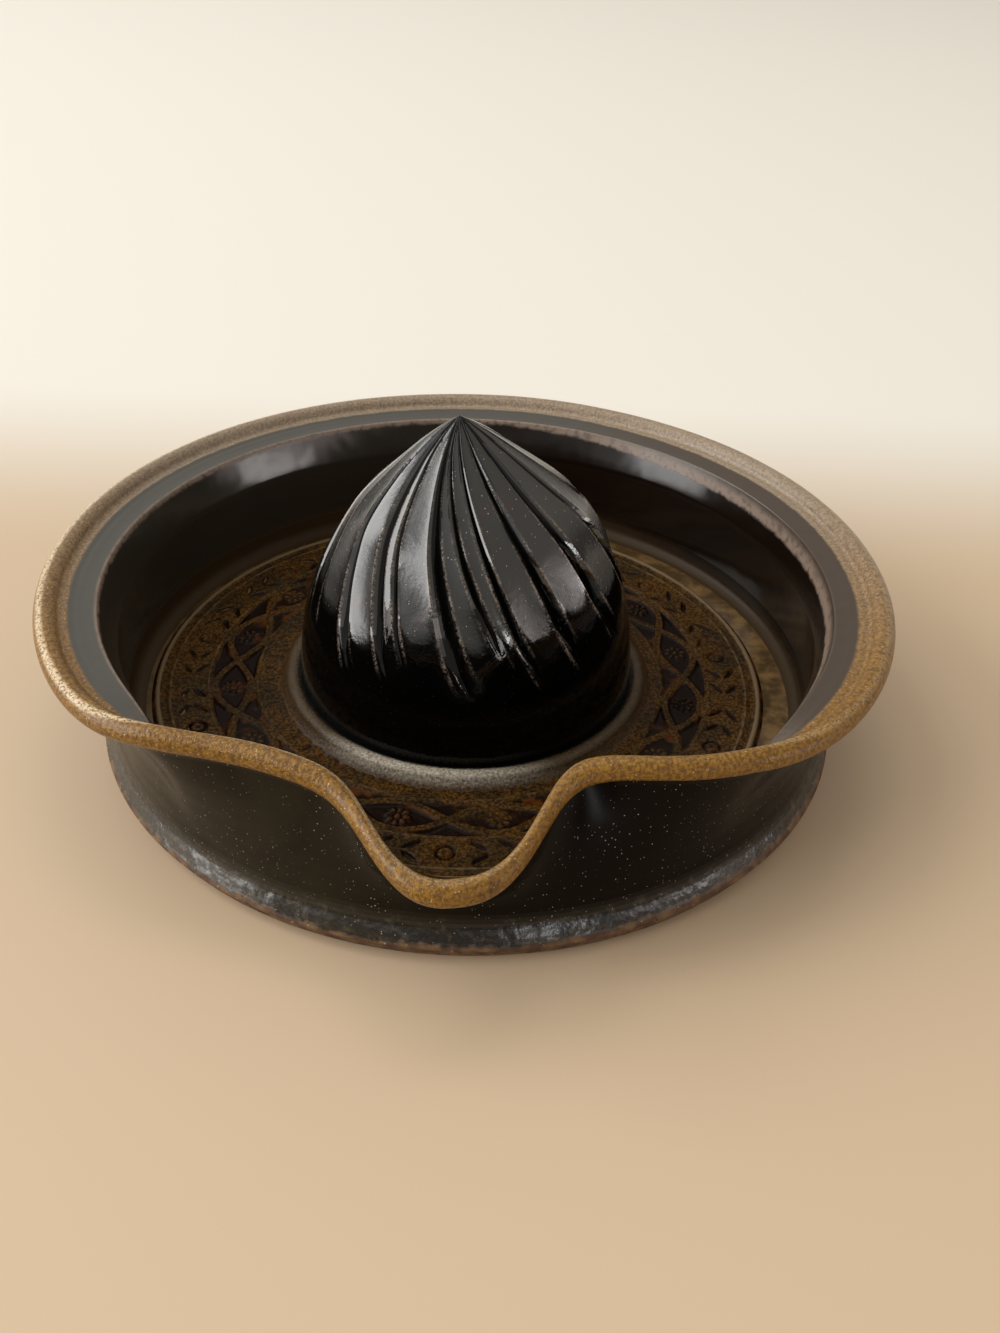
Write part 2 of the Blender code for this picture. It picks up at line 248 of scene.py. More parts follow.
class Nodes:
    """Short ways to add the nodes that the glazes and the sky share."""

    def __init__(self, tree: bpy.types.NodeTree, coordinates: str) -> None:
        """Starts with a tree and the coordinates that its nodes read."""
        self.tree = tree
        self.place = tree.nodes.new("ShaderNodeTexCoord").outputs[coordinates]

    def put(self, target: Socket, value: Number | Tint) -> None:
        """Links a socket to an input, or sets the input's own value."""
        if isinstance(value, bpy.types.NodeSocket):
            self.tree.links.new(value, target)
        elif isinstance(value, tuple) and len(target.default_value) == 4:
            target.default_value = (*value, 1.0)
        else:
            target.default_value = value

    def node(self, kind: str, inputs: dict[str | int, Number | Tint], **settings: object) -> bpy.types.Node:
        """Adds a node.

        Args:
            kind: Blender's name of the node type.
            inputs: What each input gets, by its name or its number.
            settings: Properties of the node.

        Returns:
            The node.
        """
        made = self.tree.nodes.new(kind)
        for name, value in settings.items():
            setattr(made, name, value)
        for key, value in inputs.items():
            self.put(made.inputs[key], value)
        return made

    def axis(self, letter: str) -> Socket:
        """One coordinate."""
        return self.node("ShaderNodeSeparateXYZ", {0: self.place}).outputs[letter]

    def maths(self, operation: str, *values: Number) -> Socket:
        """Result of one Math node."""
        return self.node("ShaderNodeMath", dict(enumerate(values)), operation=operation).outputs[0]

    def times(self, first: Number, *others: Number) -> Socket:
        """Product of the values."""
        for other in others:
            first = self.maths("MULTIPLY", first, other)
        return first

    def plus(self, first: Number, *others: Number) -> Socket:
        """Sum of the values."""
        for other in others:
            first = self.maths("ADD", first, other)
        return first

    def window(self, value: Socket, low: float, high: float) -> Socket:
        """Smooth step of a value from 0 at the low end to 1 at the high one."""
        inputs = {"Value": value, "From Min": low, "From Max": high}
        return self.node("ShaderNodeMapRange", inputs, interpolation_type="SMOOTHSTEP").outputs["Result"]

    def mix(self, share: Number, first: Tint, second: Tint) -> Socket:
        """Colour between two colours."""
        return self.node("ShaderNodeMix", {0: share, 6: first, 7: second}, data_type="RGBA").outputs[2]

    def between(self, share: Number, first: Number, second: Number) -> Socket:
        """Number between two numbers."""
        return self.node("ShaderNodeMix", {0: share, 2: first, 3: second}, data_type="FLOAT").outputs[0]

    def layered(self, ground: Tint, *coats: tuple[Number, Tint]) -> Tint:
        """Colour of a ground under coats, each given as the share that it covers and its colour."""
        for share, colour in coats:
            ground = self.mix(share, ground, colour)
        return ground


class Shader(Nodes):
    """A material and short ways to add the nodes that the glazes share."""

    def __init__(self, name: str, roughness: float = 0.3, sheen: float = 0.5) -> None:
        """Starts a material with its plain settings.

        Args:
            name: Name of the material.
            roughness: Roughness where nothing is linked.
            sheen: Level of its mirror reflection, 0.5 for clear glass.
        """
        self.material = bpy.data.materials.new(name)
        self.material.use_nodes = True
        super().__init__(self.material.node_tree, "Object")
        self.surface = self.tree.nodes["Principled BSDF"]
        self.surface.inputs["Roughness"].default_value = roughness
        self.surface.inputs["Specular IOR Level"].default_value = sheen

    def mark(self, mark: Mark) -> Socket:
        """Value of a vertex mark."""
        return self.node("ShaderNodeAttribute", {}, attribute_name=mark.value).outputs["Fac"]

    def along(self, letter: str, low: float, high: float) -> Socket:
        """Smooth step along one coordinate, between two places in millimetres."""
        return self.window(self.axis(letter), low * MM, high * MM)

    def vector(self, operation: str, *values: Tint) -> bpy.types.Node:
        """One Vector Math node."""
        return self.node("ShaderNodeVectorMath", dict(enumerate(values)), operation=operation)

    def away(self, axis: Point) -> Socket:
        """Level vector from an upright axis."""
        level = self.vector("MULTIPLY", self.place, (1.0, 1.0, 0.0)).outputs[0]
        return self.vector("SUBTRACT", level, (axis[0] * MM, axis[1] * MM, 0.0)).outputs[0]

    def grain(self, size: float, detail: float = 2.0, vector: Socket | None = None) -> Socket:
        """Cloudy noise with lumps of about a size, from 0 to 1."""
        scale = 1.0 / (size * MM)
        inputs = {"Vector": vector or self.place, "Scale": scale, "Detail": detail, "Roughness": 0.55}
        return self.node("ShaderNodeTexNoise", inputs).outputs["Fac"]

    def cloud(self, size: float, detail: float, low: float, high: float) -> Socket:
        """Mask of the noise's lumps, which fade in between two of its values."""
        return self.window(self.grain(size, detail), low, high)

    def specks(self, spacing: float, size: float, share: float) -> Socket:
        """Mask of small round specks.

        Args:
            spacing: Mean distance between their possible places.
            size: Radius of the largest speck.
            share: Share of the places that have one.

        Returns:
            The mask, 1 on a speck.
        """
        inputs = {"Vector": self.place, "Scale": 1.0 / (spacing * MM)}
        cells = self.node("ShaderNodeTexVoronoi", inputs, feature="F1", distance="EUCLIDEAN")
        red = self.node("ShaderNodeSeparateColor", {0: cells.outputs["Color"]}).outputs[0]
        reach = self.times(self.window(red, 1.0 - share, 1.0), size / spacing)
        inside = self.maths("SUBTRACT", reach, cells.outputs["Distance"])
        return self.window(inside, 0.0, 0.35 * size / spacing)

    def relief(self, height: Socket, depth: float, below: Socket | None = None) -> Socket:
        """Bump of a real depth, over another one where that is given."""
        inputs = {"Height": height, "Distance": depth * MM, "Strength": 1.0}
        if below is not None:
            inputs["Normal"] = below
        return self.node("ShaderNodeBump", inputs).outputs["Normal"]

    def wear(self, colour: Tint, roughness: Number | None = None, normal: Socket | None = None) -> Material:
        """Gives the surface its colour, roughness and bump, and returns the material."""
        for name, value in (("Base Color", colour), ("Roughness", roughness), ("Normal", normal)):
            if value is not None:
                self.put(self.surface.inputs[name], value)
        return self.material


@dataclass(frozen=True)
class BareClay:
    """Unglazed stoneware, toasted brown, with sandy specks."""

    pale: Colour = (0.150, 0.083, 0.036)
    toasted: Colour = (0.060, 0.025, 0.010)
    sand: Colour = (0.30, 0.22, 0.13)
    iron: Colour = (0.02, 0.010, 0.006)
    roughness: float = 0.85

    def coat(self, shader: Shader) -> Socket:
        """Colour of the clay, for this finish and for those that wear through to it."""
        return shader.layered(
            shader.mix(shader.cloud(2.6, 4.0, 0.35, 0.68), self.toasted, self.pale),
            (shader.specks(0.9, 0.22, 0.5), self.sand),
            (shader.specks(1.1, 0.26, 0.5), self.iron),
        )

    def build(self) -> Material:
        """Makes the material."""
        shader = Shader("bare_clay", self.roughness)
        return shader.wear(self.coat(shader), None, shader.relief(shader.grain(0.35, 3.0), 0.12))


@dataclass(frozen=True)
class ZoneLook:
    """Look of one zone of the wall.

    Attributes:
        start: Zone number where it begins.
        fade: Width of the change to it.
        roughness: Roughness of its glaze.
    """

    start: float
    fade: float
    roughness: float


@dataclass(frozen=True)
class WallGlaze:
    """Glazes of the wall, zone by zone from its inside over the rim to its foot.

    Attributes:
        axis: Axis that the wall stands round.
    """

    axis: Point
    cove: Colour = (0.040, 0.024, 0.011)
    inner: Colour = (0.0250, 0.0210, 0.0150)
    # Inner glaze at the right side, darkened there as painted shade.
    inner_shaded_right: Colour = (0.0060, 0.0030, 0.0015)
    arris: Colour = (0.200, 0.145, 0.110)
    slate: Colour = (0.050, 0.047, 0.039)
    # Slate glaze at the right side, browner and darkened there, the darkening being painted shade.
    slate_shaded_right: Colour = (0.042, 0.026, 0.016)
    amber: Colour = (0.230, 0.112, 0.014)
    tan: Colour = (0.270, 0.205, 0.140)
    umber: Colour = (0.034, 0.012, 0.003)
    cream_specks_and_highlight: Colour = (0.66, 0.53, 0.35)
    olive: Colour = (0.0195, 0.0148, 0.0074)
    brown: Colour = (0.0020, 0.0008, 0.0003)
    fleck: Colour = (0.34, 0.31, 0.23)
    cove_roughness: float = 0.42
    inner_look: ZoneLook = ZoneLook(0.210, 0.080, 0.15)
    arris_look: ZoneLook = ZoneLook(0.968, 0.020, 0.40)
    slate_look: ZoneLook = ZoneLook(1.055, 0.045, 0.32)
    rim_look: ZoneLook = ZoneLook(1.74, 0.050, 0.32)
    outer_look: ZoneLook = ZoneLook(3.86, 0.060, 0.26)
    foot_look: ZoneLook = ZoneLook(5.96, 0.060, 0.80)

    def rim(self, shader: Shader) -> Socket:
        """Colour of the rim: matt tan at the back and amber at the front, with pale cream specks and a
        sparkling cream streak on the crest that is a painted highlight, strongest at the left.
        """
        zone = shader.mark(Mark.ZONE)
        front = shader.along("Y", 45.0, -45.0)
        turned = shader.vector("NORMALIZE", shader.away(self.axis)).outputs[0]
        streaks = shader.window(shader.grain(10.0, 3.0, turned), 0.52, 0.72)
        crest = shader.times(shader.window(zone, 2.50, 2.64), shader.window(zone, 2.90, 2.74))
        # The crest's cream streak is a painted highlight, with pale glaze breaking on the crest, and it grows
        # towards the left, where the light falls.
        lit = shader.between(shader.along("X", 4.0, -30.0), 0.20, 0.85)
        return shader.layered(
            shader.mix(front, self.tan, self.amber),
            (shader.times(shader.cloud(0.6, 3.0, 0.38, 0.64), shader.between(front, 0.35, 0.62)), self.umber),
            (shader.times(streaks, shader.between(front, 0.15, 0.40)), self.umber),
            (shader.times(crest, shader.cloud(0.45, 3.0, 0.34, 0.60), lit), self.cream_specks_and_highlight),
            (shader.times(shader.specks(0.55, 0.15, 0.5), 0.5), self.cream_specks_and_highlight),
        )

    def outside(self, shader: Shader) -> Socket:
        """Colour of the outside: dark olive to the left and near black to the right, a fall that is painted
        shade, with pale flecks and pale heel blotches that are partly a painted highlight.
        """
        shade_drift = shader.maths("MULTIPLY_ADD", shader.grain(30.0), 50.0 * MM, shader.axis("X"))
        gathered = shader.between(shader.cloud(16.0, 2.0, 0.35, 0.65), 0.30, 0.9)
        heel = shader.window(shader.mark(Mark.ZONE), 5.25, 5.65)
        return shader.layered(
            # Olive at the left falling to near black at the right is painted shade; the noise only makes the
            # change uneven.
            shader.mix(shader.window(shade_drift, -35.0 * MM, 55.0 * MM), self.olive, self.brown),
            (shader.times(shader.cloud(9.0, 3.0, 0.42, 0.75), 0.4), self.brown),
            # Pale blotches on the heel: pale glaze mottle that also stands in for the heel's glints, a
            # painted highlight.
            (shader.times(shader.cloud(1.6, 4.0, 0.52, 0.72), heel, 0.10), self.fleck),
            (shader.times(shader.specks(0.55, 0.13, 0.6), gathered), self.fleck),
        )

    def ragged(self, shader: Shader, zone: Socket) -> Socket:
        """Zone with the uneven lines at which the glazes end, most of all at the foot."""
        raggedness = shader.between(shader.window(zone, 1.2, 1.7), 0.04, 0.09)
        uneven = shader.plus(shader.grain(2.6, 3.0), -0.5)
        foot = shader.window(zone, 5.2, 5.8)
        return shader.plus(
            shader.maths("MULTIPLY_ADD", uneven, raggedness, zone),
            shader.times(shader.grain(2.2, 3.0), foot, 0.30),
            shader.times(shader.along("X", 0.0, 60.0), 0.10),
            shader.times(foot, -0.15),
        )

    def bumps(self, shader: Shader, zone: Socket) -> Socket:
        """Grain of the rim over ripples everywhere and the curdled heel."""
        grainy = shader.times(shader.window(zone, 1.7, 2.0), shader.window(zone, 4.0, 3.8), 0.85)
        curdled = shader.times(shader.grain(2.8, 2.5), shader.window(zone, 5.2, 5.5))
        ripple = shader.relief(curdled, 0.27, shader.relief(shader.grain(6.0, 1.0), 0.10))
        return shader.relief(shader.times(shader.grain(0.50), shader.plus(grainy, 0.03)), 0.16, ripple)

    def build(self, name: str, sheen: float) -> Material:
        """Makes the material.

        Args:
            name: Name of the material.
            sheen: Level of its mirror reflection.

        Returns:
            The material.
        """
        shader = Shader(name, sheen=sheen)
        zone = shader.mark(Mark.ZONE)
        ragged = self.ragged(shader, zone)
        plain = shader.window(shader.mark(Mark.PRESSED), 0.60, 0.05)
        dots = shader.between(shader.cloud(1.3, 2.0, 0.36, 0.52), 0.60, 1.0)
        colour: Tint = self.cove
        roughness: Number = self.cove_roughness
        for look, coat, share in (
            # The inside darkens towards the right: painted shade.
            (self.inner_look, shader.mix(shader.along("X", -55.0, 30.0), self.inner, self.inner_shaded_right), 1.0),
            (self.arris_look, self.arris, shader.times(plain, dots)),
            # The slate darkens towards the right: painted shade.
            (self.slate_look, shader.mix(shader.along("X", 0.0, 70.0), self.slate, self.slate_shaded_right), plain),
            (self.rim_look, self.rim(shader), 1.0),
            (self.outer_look, self.outside(shader), 1.0),
            (self.foot_look, BareClay().coat(shader), 1.0),
        ):
            start, end = look.start - look.fade, look.start + look.fade
            covered = shader.times(shader.window(ragged, start, end), share)
            colour = shader.mix(covered, colour, coat)
            roughness = shader.between(covered, roughness, look.roughness)
        return shader.wear(colour, roughness, self.bumps(shader, zone))


@dataclass(frozen=True)
class FloorGlaze:
    """Glossy olive-brown margin of the floor, and bare clay underneath."""

    margin: Colour = (0.105, 0.063, 0.025)
    warm: Colour = (0.165, 0.096, 0.034)
    dark: Colour = (0.055, 0.030, 0.010)
    underside: Point = (3.8, 4.2)
    roughness: float = 0.20

    def build(self) -> Material:
        """Makes the material."""
        shader = Shader("floor_glaze", sheen=0.3)
        side = shader.mix(shader.along("X", 20.0, 55.0), self.margin, self.warm)
        glaze = shader.mix(shader.cloud(4.0, 3.0, 0.35, 0.7), self.dark, side)
        clay = BareClay()
        above = shader.along("Z", *self.underside)
        colour = shader.mix(above, clay.coat(shader), glaze)
        roughness = shader.between(above, clay.roughness, self.roughness)
        return shader.wear(colour, roughness, shader.relief(shader.grain(1.5), 0.05))


@dataclass(frozen=True)
class ReliefGlaze:
    """Glaze that breaks golden brown on the raised pattern and pools dark in it.

    Attributes:
        top: Level of the disc's face.
        depth: Depth of the pattern.
    """

    top: float
    depth: float
    gold: Colour = (0.094, 0.044, 0.008)
    moss: Colour = (0.052, 0.029, 0.008)
    rust: Colour = (0.070, 0.020, 0.003)
    pool: Colour = (0.0060, 0.0020, 0.0007)
    crest: Colour = (0.140, 0.095, 0.052)
    uneven: float = 0.26

    def build(self) -> Material:
        """Makes the material."""
        shader = Shader("relief_glaze", sheen=0.06)
        height = shader.maths("MULTIPLY_ADD", shader.grain(1.4, 3.0), self.uneven * MM, shader.axis("Z"))
        level = shader.plus(height, -self.uneven / 2.0 * MM)

        def risen(start: float, end: float) -> Socket:
            """Smooth step between two levels, given as heights above the face."""
            return shader.window(level, (self.top + start) * MM, (self.top + end) * MM)

        face = shader.mix(shader.cloud(9.0, 2.0, 0.42, 0.62), self.gold, self.moss)
        colour = shader.layered(
            self.pool,
            (
                risen(-0.75 * self.depth, -0.45 * self.depth),
                shader.mix(shader.cloud(5.0, 2.0, 0.50, 0.62), self.pool, self.rust),
            ),
            (
                risen(-0.45 * self.depth, -0.08 * self.depth),
                shader.mix(shader.times(shader.cloud(0.55, 4.0, 0.34, 0.62), 0.84), face, self.pool),
            ),
            (risen(0.12, 0.38), self.crest),
        )
        roughness = shader.between(risen(-self.depth, 0.0), 0.30, 0.42)
        return shader.wear(colour, roughness, shader.relief(shader.grain(0.6, 3.0), 0.07))


@dataclass(frozen=True)
class CollarGlaze:
    """Brown-grey glaze of the roll, edged by the cone's black and speckled on its crest, where a silver-grey
    painted highlight and cream specks brighten it towards the front left.

    Attributes:
        axis: Axis of the cone.
        seam: Radius at which the black glaze ends.
        crest: Radius of the roll's crest.
    """

    axis: Point
    seam: float
    crest: float
    painted_highlight_facing: Triple = (-0.14, -0.99, 0.0)
    lit: Point = (25.0, 33.5)
    # Silver grey of the painted highlight on the crest at the front left.
    grey: Colour = (0.520, 0.470, 0.385)
    dull: Colour = (0.070, 0.050, 0.028)
    brown: Colour = (0.070, 0.033, 0.008)
    pool: Colour = (0.010, 0.004, 0.0015)
    black: Colour = (0.004, 0.0035, 0.003)
    cream_specks_and_highlight: Colour = (0.62, 0.59, 0.50)
    uneven: float = 1.2

    def build(self) -> Material:
        """Makes the material."""
        shader = Shader("collar_glaze", 0.36, 0.18)
        away = shader.vector("LENGTH", shader.away(self.axis)).outputs["Value"]
        ragged = shader.maths("MULTIPLY_ADD", shader.grain(0.6, 3.0), self.uneven * MM, away)
        radius = shader.plus(ragged, -self.uneven / 2.0 * MM)
        facing = shader.vector("DOT_PRODUCT", shader.place, self.painted_highlight_facing).outputs["Value"]
        # Share of the painted highlight: strongest where the crest faces the front left, where the light
        # falls.
        left = shader.window(facing, self.lit[0] * MM, self.lit[1] * MM)
        on_crest = shader.window(radius, (self.crest + 2.7) * MM, (self.crest + 0.7) * MM)
        mottled = shader.between(shader.cloud(0.5, 4.0, 0.25, 0.72), 0.25, 1.0)
        dots = shader.specks(0.34, 0.12, 0.6)
        colour = shader.layered(
            shader.mix(shader.times(shader.cloud(0.55, 4.0, 0.34, 0.62), 0.75), self.brown, self.pool),
            (shader.times(mottled, on_crest), shader.mix(left, self.dull, self.grey)),
            # Cream specks on the crest, brighter within the painted highlight.
            (shader.times(dots, on_crest, shader.between(left, 0.15, 0.7)), self.cream_specks_and_highlight),
        )
        past_seam = shader.window(radius, self.seam * MM, (self.seam + 0.9) * MM)
        bump = shader.relief(shader.grain(0.5, 3.0), 0.16)
        return shader.wear(shader.mix(past_seam, self.black, colour), None, bump)


@dataclass(frozen=True)
class ConeGlaze:
    """Mirror-black glaze that thins to brown, dotted lines on the sharp ridges."""

    black: Colour = (0.0012, 0.0010, 0.0009)
    bloom: Colour = (0.0065, 0.0058, 0.0050)
    garnet: Colour = (0.020, 0.0025, 0.0018)
    thin: Colour = (0.34, 0.27, 0.22)
    fleck: Colour = (0.34, 0.33, 0.30)

    def build(self, name: str, sheen: float) -> Material:
        """Makes the material.

        Args:
            name: Name of the material.
            sheen: Level of its mirror reflection.

        Returns:
            The material.
        """
        shader = Shader(name, sheen=sheen)
        cut = shader.mark(Mark.CUT)
        dotted = shader.times(shader.cloud(0.42, 3.0, 0.36, 0.66), shader.cloud(6.0, 2.0, 0.32, 0.66))
        edge = shader.times(shader.mark(Mark.RIDGE), dotted)
        colour = shader.layered(
            # Barely cut places stay mirror black; inside the grooves this black is painted shade.
            shader.mix(cut, self.black, self.bloom),
            (shader.times(shader.cloud(7.0, 2.0, 0.60, 0.72), cut), self.garnet),
            (shader.times(edge, 0.75), self.thin),
            (shader.times(shader.specks(0.6, 0.12, 0.5), shader.plus(cut, 0.06)), self.fleck),
        )
        roughness = shader.between(edge, shader.between(cut, 0.055, 0.27), 0.45)
        pits = shader.relief(shader.grain(0.8), 0.02)
        return shader.wear(colour, roughness, shader.relief(shader.grain(2.8, 3.0), 0.08, pits))


@dataclass
class Pot:
    """Sizes that the pieces share."""

    axis: Point = (0.6, 1.909)
    cone_axis: Point = (-0.2, 1.909)
    disc_axis: Point = (-1.4, 2.509)
    foot_height: float = 2.4
    floor_underside: float = 2.7
    floor_level: float = 5.8
    disc_top: float = 6.2
    floor_radius: float = 66.8
    hollow_radius: float = 27.0
    heel_radius: float = 71.7


@dataclass
class DishWall:
    """Wall of the dish with its heel, flange, rolled rim and pulled lip.

    The zones number its stations: 0 to 1 up the inside, 1 to 2 over the flange, 2 to 4 round the rim, 4 to 5
    down the outside, 5 to 6 down the heel and more than that at the foot.
    """

    pot: Pot
    wall_thickness: float = 3.3
    wall_depth: float = 24.3
    wall_lean: float = 2.6
    wall_crowding: float = 1.3
    lean_start: float = 0.70
    lean_curve: float = 1.08
    cove: float = 2.4
    cove_share: float = 0.15
    heel_height: float = 5.0
    heel_flare: float = 2.0
    heel_curve: float = 3.2
    glaze_roll: float = 0.6
    glaze_foot: float = 3.4
    gather: float = 0.45
    gather_level: float = 4.9
    gather_half: float = 2.1
    flange_curve: float = 4.0
    flange_sag: float = 0.22
    pressed_curve: float = 1.7
    pressed_top: float = 0.86
    flange_root: float = 191.0
    pressed_root: float = 262.0
    lip_root_turn: float = 34.0
    bead: float = 2.1
    bead_neck: float = 38.0
    bead_crease: float = 24.0
    bead_steps: int = 30
    crease_depth: float = 0.30
    crease: Point = (0.93, 0.16)
    bead_line: float = 78.1
    bead_level: float = 30.7
    rim_drift: float = -0.6
    hand_press: Point = (6.7, 27.3)
    hand_depth: float = 19.55
    thumb_press: Point = (-29.3, 13.3)
    thumb_depth: float = 6.4
    press_lift: float = 1.1
    upright_press: float = 5.5
    lip: Point = (1.3, 11.6)
    lip_pull: float = 22.65
    lip_squareness: float = 2.43
    lip_dip: float = 5.8
    dip_half: float = 14.5
    turns: int = 480
    front_crowding: float = 0.5
    throwing_lines: float = 0.018
    throwing_pitch: float = 3.7
    bulges: float = 0.15
    rim_waver: float = 0.10
    rim_zone: float = 2.0
    outer_zone: float = 3.90
    heel_zones: tuple[float, ...] = (5.24, 5.36, 5.48, 5.60)
    heel_sheens: tuple[float, ...] = (0.19, 0.32, 0.50, 0.78)
    heel_end: float = 5.95
    cove_zone: float = 0.19
    inner_sheen: float = 0.5
    outer_sheen: float = 0.10
    rim_sheen: float = 0.32

    def rim_at(self, azimuth: float) -> tuple[Point, float, float]:
        """How the rim runs at an azimuth.

        Args:
            azimuth: Angle from the lip's side.

        Returns:
            Radius and height of the bead's centre, the share pressed upright and the share pulled out.
        """
        press = self.hand_depth * swell(azimuth, *self.hand_press)
        press += self.thumb_depth * swell(azimuth, *self.thumb_press)
        pulled = swell(azimuth, *self.lip, self.lip_squareness)
        upright = ease(press / self.upright_press, 0.0, 1.0)
        radius = self.bead_line - press + self.lip_pull * pulled
        dip = self.lip_dip * swell(azimuth, self.lip[0], self.dip_half, self.lip_squareness)
        return (radius, self.bead_level + self.press_lift * upright - dip), upright, pulled

    def inside(self, upright: float, bead_end: Point) -> list[Triple]:
        """Inside of the wall from the cove on the floor to the arris, as radius, height and zone."""
        floor, radius = self.pot.floor_level, self.pot.floor_radius
        waist = floor + self.heel_height
        cove = arc((radius - self.cove, floor + self.cove), (self.cove, self.cove), -94.0, -4.0, 7)
        points = [(r, z, self.cove_share * i / len(cove)) for i, (r, z) in enumerate(cove)]
        for step in shares(28, 1):
            share = blend(self.cove / self.wall_depth, 1.0, 1.0 - (1.0 - step) ** self.wall_crowding)
            lean = max(share - self.lean_start, 0.0) / (1.0 - self.lean_start)
            leaning = (radius + self.wall_lean * lean ** self.lean_curve, floor + self.wall_depth * share)
            height = blend(floor, bead_end[1], share * self.pressed_top)
            rise = max(height - waist, 0.0) / (bead_end[1] - waist)
            pressed = (blend(radius, bead_end[0], rise ** self.pressed_curve), height)
            points.append((*(blend(free, held, upright) for free, held in zip(leaning, pressed)), share))
        return points

    def outside(self, upright: float, bead_end: Point) -> list[Triple]:
        """Outside of the wall from the bead down to the edge of the glaze, as radius, height and zone."""
        waist_radius = self.pot.floor_radius + self.wall_thickness
        waist = self.pot.floor_level + self.heel_height
        curve = blend(self.flange_curve, self.pressed_curve, upright)
        points = []
        for share in shares(26, 1):
            radius = blend(waist_radius, bead_end[0], (1.0 - share) ** curve)
            points.append((radius, blend(waist, bead_end[1], 1.0 - share), 4.0 + share))
        for share in shares(16, 1):
            radius = waist_radius + self.heel_flare * share ** self.heel_curve
            points.append((radius, blend(waist, self.glaze_foot, share), 5.0 + share))
        slope = math.atan(self.heel_flare * self.heel_curve / (waist - self.glaze_foot))
        inwards, down = self.glaze_roll * math.cos(slope), self.glaze_roll * math.sin(slope)
        foot = (radius - inwards, self.glaze_foot - down)
        roll = arc(foot, (self.glaze_roll, self.glaze_roll), math.degrees(slope), -85.0, 7)
        return points + [(r, z, 6.0 + 0.07 * step) for step, (r, z) in enumerate(roll) if step]

    def section(self, azimuth: float) -> list[Knot]:
        """Closed section of the wall at an azimuth."""
        bead, upright, pulled = self.rim_at(azimuth)
        root = blend(self.flange_root, self.pressed_root, upright) - self.lip_root_turn * pulled
        size = self.bead * (0.985 + 0.015 * mottle(standing(1.0, azimuth), 0.16, 3.0))
        ends = (root - self.bead_crease, root + self.bead_neck - 360.0)
        roll = arc(bead, (size, size), *ends, self.bead_steps)
        points = self.inside(upright, roll[0])
        start = points[-1]
        for share in shares(16, 1)[:-1]:
            sag = self.flange_sag * math.sin(math.pi * share)
            sag += self.crease_depth * hump(share - self.crease[0], self.crease[1])
            radius, height = (blend(start[i], roll[0][i], share) for i in range(2))
            points.append((radius, height - sag * (1.0 - upright), 1.0 + share))
        points += [(r, z, 2.0 + 2.0 * i / self.bead_steps) for i, (r, z) in enumerate(roll)]
        points += self.outside(upright, roll[-1])
        points.append((self.pot.floor_radius, self.pot.floor_underside, 6.6))
        points.append((self.pot.floor_radius - self.cove, self.pot.floor_underside + 1.0, 0.0))
        return [self.knot(radius, azimuth, height, zone, upright) for radius, height, zone in points]

    def knot(self, radius: float, azimuth: float, height: float, zone: float, upright: float) -> Knot:
        """Sets one point in place with the thrown clay's unevenness."""
        climb = max(height - self.pot.floor_level, 0.0) / (self.bead_level - self.pot.floor_level)
        place = standing(radius, azimuth, height, self.pot.axis)
        if 4.2 < zone < 5.4:
            lines = math.sin(height / self.throwing_pitch * math.tau + 1.2 * mottle(place, 40, 5.0))
            uneven = self.throwing_lines * lines + self.bulges * mottle(place, 16, 1.0)
            radius += uneven * ease(zone, 4.2, 4.5) * ease(zone, 5.4, 5.1)
        if 1.5 < zone < 4.5:
            height -= self.rim_waver * (1.0 + mottle(place, 30, 2.0))
        if 5.0 < zone < 6.5:
            thick = 0.75 + 0.5 * mottle(place, 9, 10.0) + 0.25 * mottle(place, 3, 11.0)
            radius += self.gather * thick * hump(height - self.gather_level, self.gather_half)
        place = standing(radius, azimuth, height, self.pot.axis)
        place.x += self.rim_drift * climb
        return Knot(place, (zone, upright))

    def build(self) -> bpy.types.Object:
        """Builds and dresses the wall."""
        sections = []
        for share in shares(self.turns)[:-1]:
            turn = 360.0 * share - 180.0
            crowding = self.front_crowding * math.degrees(math.sin(math.radians(turn)))
            sections.append(self.section(turn - crowding))
        form = Loft(sections, (Mark.ZONE, Mark.PRESSED)).form()
        layer = form.verts.layers.float[Mark.ZONE.value]
        for face in form.faces:
            zone = mean_mark(face, layer)
            if self.outer_zone < zone < self.heel_zones[0] or zone < self.cove_zone:
                face.material_index = 1
            elif self.rim_zone < zone < self.outer_zone:
                face.material_index = 2
            elif self.heel_zones[0] <= zone < self.heel_end:
                face.material_index = 2 + sum(start <= zone for start in self.heel_zones)
        sheens = {
            "wall_glaze": self.inner_sheen,
            "outer_wall_glaze": self.outer_sheen,
            "rim_glaze": self.rim_sheen,
            **{f"heel_glaze_{step}": sheen for step, sheen in enumerate(self.heel_sheens, 1)},
        }
        glaze = WallGlaze(self.pot.axis)
        glazes = [glaze.build(name, sheen) for name, sheen in sheens.items()]
        return finish_piece("dish_wall_skin", form, glazes, ["dish_wall"], 75.0)


@dataclass
class FootRing:
    """Bare ring that the pot stands on, with a soft, worn edge."""

    pot: Pot
    inner_radius: float = 62.4
    inset: float = 0.15
    tuck: float = 1.5
    inner_tuck: float = 0.6
    joint: float = 0.3
    wear: float = 0.12

    def build(self) -> bpy.types.Object:
        """Builds and dresses the ring."""
        top, tuck = self.pot.foot_height, self.inner_tuck
        outer = self.pot.heel_radius - self.inset - self.tuck
        outline = arc((outer, top), (self.tuck, top), 0.0, -90.0, 8)
        outline += arc((self.inner_radius + tuck, tuck), (tuck, tuck), -90.0, -180.0, 4)
        outline += [(self.inner_radius, top + self.joint), (outer, top + self.joint)]
        form = spun(outline, self.pot.axis, 240, self.worn)
        return finish_piece("foot_ring_skin", form, [BareClay().build()], ["foot_ring"])

    def worn(self, place: Vector) -> float:
        """Inward wear of the ring's edge."""
        return -self.wear * (1.0 + mottle(place, 2.2)) * 0.5


